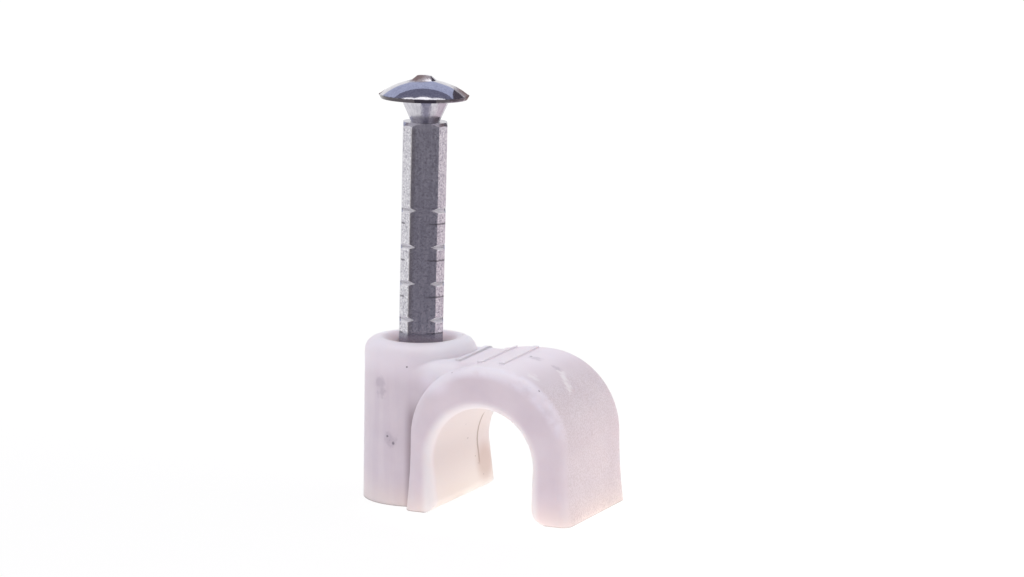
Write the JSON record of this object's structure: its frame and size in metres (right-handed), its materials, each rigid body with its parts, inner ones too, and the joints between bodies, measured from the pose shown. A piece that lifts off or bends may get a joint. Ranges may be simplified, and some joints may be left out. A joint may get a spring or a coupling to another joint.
{
  "type": "cable clip",
  "caption": "White plastic saddle clip with a round nail boss: it holds a round cable against a wall, and its barbed steel nail stands half in, ready to be hammered home.",
  "frame": {"origin": "centre of the clip's outline on the wall plane, at the feet of the boss and the saddle", "axes": "+Z away from the wall along the nail, +X from the nail boss to the free leg, +Y along the cable"},
  "size_m": [0.0138, 0.0078, 0.0232],
  "materials": {
    "white_plastic": "satin moulded",
    "zinc_steel": "bright zinc plate"
  },
  "bodies": {
    "clip": {"clip_body": "white_plastic"},
    "nail": {"nail": "zinc_steel"}
  },
  "joints": [
    {"name": "nail_drive", "type": "slide", "parent": "clip", "child": "nail", "axis": [-0.0227, 0, -0.9997], "range_m": [0, 0.01303]}
  ]
}
